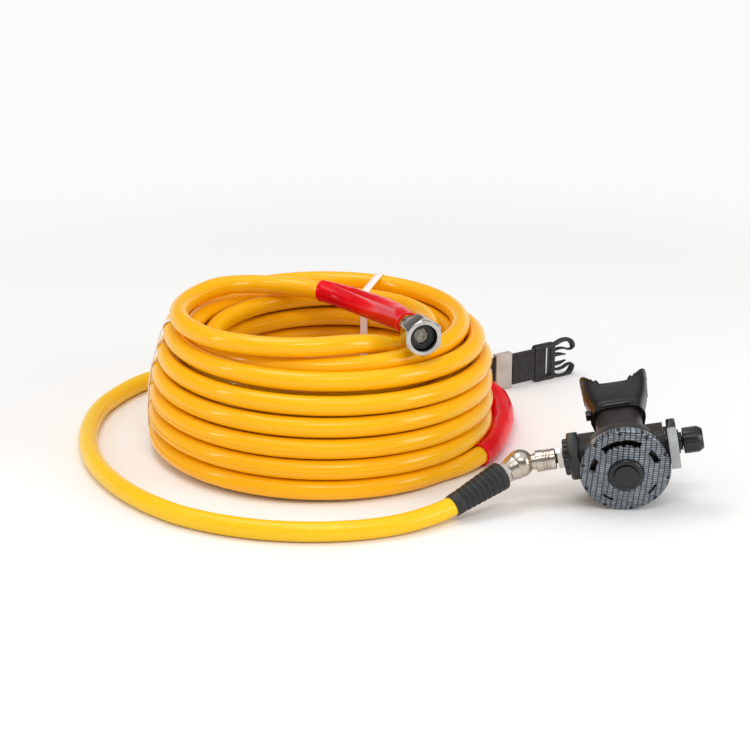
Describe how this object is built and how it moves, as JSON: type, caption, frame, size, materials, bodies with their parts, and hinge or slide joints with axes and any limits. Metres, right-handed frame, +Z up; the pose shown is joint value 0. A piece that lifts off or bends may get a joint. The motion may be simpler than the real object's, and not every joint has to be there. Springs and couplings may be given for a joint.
{
  "type": "surface-supplied diving regulator set",
  "caption": "Coiled supply hose with red sleeves and inlet nut, whip hose with ball swivel and quick coupler, second-stage regulator with purge and mouthpiece, and belt with check valve.",
  "frame": {"origin": "on the floor, under the middle of the box round everything but the hoses and their fittings", "axes": "+Z up, +X along the floor towards the regulator's side of the coil, +Y away from the regulator's front cover"},
  "size_m": [0.5227, 0.4184, 0.1422],
  "materials": {
    "yellow_hose": "glossy",
    "red_sleeve": "glossy",
    "chrome_plate": "polished",
    "satin_nickel": "satin",
    "black_rubber": "satin",
    "mouthpiece_rubber": "glossy",
    "case_plastic": "satin",
    "cover_plastic": "satin",
    "button_plastic": "satin",
    "black_plastic": "satin",
    "buckle_plastic": "satin",
    "grey_plastic": "satin",
    "webbing": "woven",
    "tie_nylon": "satin",
    "brass": "machined",
    "white_plastic": "satin",
    "steel": "bright",
    "silicone": "satin"
  },
  "bodies": {
    "hoses_and_belt": {"supply_hose": "yellow_hose", "supply_core": "yellow_hose", "upper_sleeve": "red_sleeve", "lower_sleeve": "red_sleeve", "upper_tail_piece": "chrome_plate", "lower_tail_piece": "chrome_plate", "inlet_gasket": "black_rubber", "inlet_screen": "steel", "coil_tie_left": "tie_nylon", "coil_tie_back": "tie_nylon", "whip_hose": "yellow_hose", "whip_tail_piece": "chrome_plate", "hose_boot": "black_rubber", "hose_end_fitting": "satin_nickel", "check_body": "buckle_plastic", "check_spring": "steel", "belt_webbing": "webbing", "buckle_male": "buckle_plastic", "buckle_female": "buckle_plastic"},
    "supply_nut": {"supply_nut": "chrome_plate"},
    "check_poppet": {"check_poppet": "brass"},
    "belt_keeper": {"belt_keeper": "grey_plastic"},
    "swivel_stem": {"swivel_stem": "satin_nickel"},
    "coupler": {"swivel_housing": "satin_nickel", "swivel_cap": "satin_nickel", "coupler_body": "satin_nickel", "coupler_balls": "steel", "coupler_retainer": "steel", "coupler_spring": "steel"},
    "coupler_sleeve": {"coupler_sleeve": "satin_nickel"},
    "regulator": {"coupler_plug": "chrome_plate", "plug_seal": "black_rubber", "inlet_collar": "black_plastic", "valve_barrel": "brass", "inlet_orifice": "steel", "regulator_case": "case_plastic", "front_cover": "cover_plastic", "spring_bridge": "black_plastic", "diaphragm_ring": "silicone", "diaphragm": "silicone", "lever_pin": "steel", "purge_spring": "steel", "poppet_spring": "steel", "knob_gland": "black_plastic", "right_collar": "black_plastic", "exhaust_valve": "silicone", "exhaust_tee": "black_plastic", "mouthpiece": "mouthpiece_rubber", "mouthpiece_tie": "black_plastic"},
    "purge": {"purge_button": "button_plastic", "purge_badge": "button_plastic"},
    "diaphragm_plate": {"diaphragm_plate": "black_plastic"},
    "demand_lever": {"demand_lever": "steel"},
    "poppet": {"poppet": "white_plastic", "poppet_seat": "black_rubber"},
    "adjust_knob": {"adjust_knob": "black_plastic"},
    "spring_pad": {"spring_pad": "brass"},
    "dive_lever": {"dive_collar": "black_plastic", "dive_lever": "grey_plastic"}
  },
  "joints": [
    {"name": "supply_nut_turn", "type": "hinge", "parent": "hoses_and_belt", "child": "supply_nut", "pos_m": [-0.0273, -0.1058, 0.1252], "axis": [0.2905, -0.9567, 0.02], "continuous": true},
    {"name": "check_poppet_slide", "type": "slide", "parent": "hoses_and_belt", "child": "check_poppet", "axis": [-1, 0, 0], "range_m": [0, 0.003], "stiffness_N_per_m": 400, "springref_m": -0.002, "deforming": ["check_spring"]},
    {"name": "keeper_slide", "type": "slide", "parent": "hoses_and_belt", "child": "belt_keeper", "axis": [0.8387, 0.5446, 0], "range_m": [0, 0.024]},
    {"name": "hose_end_swivel", "type": "hinge", "parent": "hoses_and_belt", "child": "swivel_stem", "pos_m": [0.05006, -0.14901, 0.03298], "axis": [0.7907, 0.5333, 0.3007], "range_deg": [-135, 135]},
    {"name": "ball_tilt", "type": "hinge", "parent": "swivel_stem", "child": "coupler", "pos_m": [0.05006, -0.14901, 0.03298], "axis": [0.1905, 0.2524, -0.9487], "range_deg": [-37.61, 5]},
    {"name": "coupler_sleeve_slide", "type": "slide", "parent": "coupler", "child": "coupler_sleeve", "axis": [-0.9814, 0.0702, -0.1784], "range_m": [0, 0.003], "stiffness_N_per_m": 1500, "springref_m": -0.002, "deforming": ["coupler_spring"]},
    {"name": "regulator_swivel", "type": "hinge", "parent": "coupler", "child": "regulator", "pos_m": [0.05006, -0.14901, 0.03298], "axis": [0.9814, -0.0702, 0.1784], "continuous": true},
    {"name": "purge_slide", "type": "slide", "parent": "regulator", "child": "purge", "axis": [0.0431, 0.9876, 0.1513], "range_m": [0, 0.003], "stiffness_N_per_m": 500, "springref_m": -0.001, "deforming": ["purge_spring", "diaphragm"]},
    {"name": "diaphragm_plate_slide", "type": "slide", "parent": "regulator", "child": "diaphragm_plate", "axis": [0.0431, 0.9876, 0.1513], "range_m": [0, 0.003]},
    {"name": "demand_lever_turn", "type": "hinge", "parent": "regulator", "child": "demand_lever", "pos_m": [0.14295, -0.16378, 0.04869], "axis": [0.1868, 0.1408, -0.9723], "range_deg": [0, 13]},
    {"name": "poppet_slide", "type": "slide", "parent": "regulator", "child": "poppet", "axis": [0.9814, -0.0702, 0.1784], "range_m": [0, 0.002], "deforming": ["poppet_spring"]},
    {"name": "adjust_knob_turn", "type": "hinge", "parent": "regulator", "child": "adjust_knob", "pos_m": [0.18059, -0.15835, 0.05672], "axis": [0.9814, -0.0702, 0.1784], "range_deg": [-540, 540]},
    {"name": "spring_pad_slide", "type": "slide", "parent": "regulator", "child": "spring_pad", "axis": [0.9814, -0.0702, 0.1784], "range_m": [-0.0015, 0.0015]},
    {"name": "dive_lever_turn", "type": "hinge", "parent": "regulator", "child": "dive_lever", "pos_m": [0.17078, -0.15765, 0.05493], "axis": [0.9814, -0.0702, 0.1784], "range_deg": [-30, 30]}
  ],
  "couplings": [
    {"joint": "diaphragm_plate_slide", "follows": "purge_slide", "ratio": 1},
    {"joint": "demand_lever_turn", "follows": "purge_slide", "rad_per_m": 71.429},
    {"joint": "poppet_slide", "follows": "purge_slide", "ratio": 0.6},
    {"joint": "spring_pad_slide", "follows": "adjust_knob_turn", "m_per_rad": 0.00015915}
  ]
}
